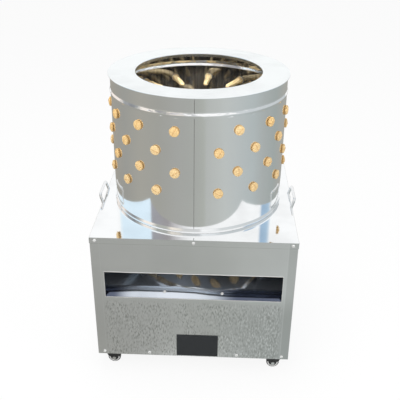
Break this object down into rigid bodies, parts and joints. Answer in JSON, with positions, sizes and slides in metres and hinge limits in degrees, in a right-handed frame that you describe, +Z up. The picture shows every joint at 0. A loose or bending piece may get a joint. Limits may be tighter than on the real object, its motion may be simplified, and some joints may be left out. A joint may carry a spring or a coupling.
{
  "type": "poultry plucker",
  "caption": "Drum poultry plucker: a stainless tub lined with rubber fingers over a spinning finger plate, on a square base with a feather slot and swivel casters.",
  "frame": {"origin": "on the floor, under the drum axis at the middle of the base", "axes": "+Z up along the drum axis, -Y towards the front panel with the feather slot, +X to the right seen from the front"},
  "size_m": [0.5846, 0.577, 0.8475],
  "materials": {
    "polished_steel": "polished stainless sheet",
    "mirror_steel": "mirror-polished stainless sheet",
    "ring_steel": "bright satin stainless sheet",
    "panel_steel": "dull stainless sheet with a mottled skin",
    "finger_rubber": "tan moulded rubber",
    "frame_steel": "grey primer",
    "cast_iron": "painted casting",
    "bearing_steel": "ground steel",
    "black_rubber": "black rubber",
    "motor_paint": "grey-blue enamel",
    "black_plastic": "black moulded plastic",
    "grey_plastic": "grey moulded plastic",
    "green_plastic": "green moulded plastic",
    "red_plastic": "red moulded plastic",
    "screw_steel": "bright plated steel",
    "black_plate": "bare black plate",
    "black_steel": "black enamel",
    "plate_aluminium": "turned plate",
    "wheel_rubber": "black moulded wheel"
  },
  "bodies": {
    "base": {"drum_shell": "polished_steel", "splash_ring": "ring_steel", "drum_fingers": "finger_rubber", "drum_clips": "frame_steel", "deck_plate": "mirror_steel", "front_panel": "panel_steel", "rear_panel": "panel_steel", "left_panel": "panel_steel", "right_panel": "panel_steel", "feather_chute": "mirror_steel", "chute_rail": "frame_steel", "corner_posts": "frame_steel", "top_rails": "frame_steel", "bottom_rails": "frame_steel", "corner_pads": "frame_steel", "mid_rails": "frame_steel", "drive_bars": "frame_steel", "bearing_housing": "cast_iron", "bearing_outer_rings": "bearing_steel", "bearing_balls": "bearing_steel", "shaft_seal": "black_rubber", "motor_plate": "frame_steel", "motor_body": "motor_paint", "motor_fan_cover": "motor_paint", "capacitor_box": "black_plastic", "v_belt": "black_rubber", "switch_box": "black_plastic", "switch_bezel": "grey_plastic", "cable_gland": "black_plastic", "panel_screws": "screw_steel", "chute_screws": "screw_steel", "drive_bolts": "screw_steel", "left_handle": "polished_steel", "right_handle": "polished_steel", "rating_plate": "black_plate", "caster_plates": "black_steel"},
    "finger_plate": {"feather_plate": "plate_aluminium", "plate_fingers": "finger_rubber", "plate_hub": "cast_iron", "hub_bolts": "screw_steel", "cap_nut": "screw_steel", "main_shaft": "bearing_steel", "bearing_inner_rings": "bearing_steel", "drive_pulley": "cast_iron"},
    "motor_rotor": {"motor_shaft": "bearing_steel", "motor_pulley": "cast_iron", "motor_fan": "grey_plastic"},
    "start_button": {"start_button": "green_plastic"},
    "stop_button": {"stop_button": "red_plastic"},
    "caster_front_left": {"fork_front_left": "black_steel"},
    "caster_front_right": {"fork_front_right": "black_steel"},
    "caster_rear_left": {"fork_rear_left": "black_steel"},
    "caster_rear_right": {"fork_rear_right": "black_steel"},
    "wheel_front_left": {"wheel_front_left": "wheel_rubber"},
    "wheel_front_right": {"wheel_front_right": "wheel_rubber"},
    "wheel_rear_left": {"wheel_rear_left": "wheel_rubber"},
    "wheel_rear_right": {"wheel_rear_right": "wheel_rubber"}
  },
  "joints": [
    {"name": "plate_spin", "type": "hinge", "parent": "base", "child": "finger_plate", "pos_m": [0, 0, 0.4], "axis": [0, 0, 1], "continuous": true},
    {"name": "motor_spin", "type": "hinge", "parent": "base", "child": "motor_rotor", "pos_m": [0, 0.197, 0.2], "axis": [0, 0, 1], "continuous": true},
    {"name": "start_press", "type": "slide", "parent": "base", "child": "start_button", "axis": [-1, 0, 0], "range_m": [0, 0.003], "stiffness_N_per_m": 500},
    {"name": "stop_press", "type": "slide", "parent": "base", "child": "stop_button", "axis": [-1, 0, 0], "range_m": [0, 0.003], "stiffness_N_per_m": 500},
    {"name": "swivel_front_left", "type": "hinge", "parent": "base", "child": "caster_front_left", "pos_m": [-0.252, -0.253, 0.045], "axis": [0, 0, 1], "continuous": true},
    {"name": "swivel_front_right", "type": "hinge", "parent": "base", "child": "caster_front_right", "pos_m": [0.252, -0.253, 0.045], "axis": [0, 0, 1], "continuous": true},
    {"name": "swivel_rear_left", "type": "hinge", "parent": "base", "child": "caster_rear_left", "pos_m": [-0.252, 0.253, 0.045], "axis": [0, 0, 1], "continuous": true},
    {"name": "swivel_rear_right", "type": "hinge", "parent": "base", "child": "caster_rear_right", "pos_m": [0.252, 0.253, 0.045], "axis": [0, 0, 1], "continuous": true},
    {"name": "roll_front_left", "type": "hinge", "parent": "caster_front_left", "child": "wheel_front_left", "pos_m": [-0.242, -0.253, 0.019], "axis": [0, 1, 0], "continuous": true},
    {"name": "roll_front_right", "type": "hinge", "parent": "caster_front_right", "child": "wheel_front_right", "pos_m": [0.242, -0.253, 0.019], "axis": [0, -1, 0], "continuous": true},
    {"name": "roll_rear_left", "type": "hinge", "parent": "caster_rear_left", "child": "wheel_rear_left", "pos_m": [-0.242, 0.253, 0.019], "axis": [0, 1, 0], "continuous": true},
    {"name": "roll_rear_right", "type": "hinge", "parent": "caster_rear_right", "child": "wheel_rear_right", "pos_m": [0.242, 0.253, 0.019], "axis": [0, -1, 0], "continuous": true}
  ],
  "couplings": [
    {"joint": "motor_spin", "follows": "plate_spin", "ratio": 4.2188}
  ]
}
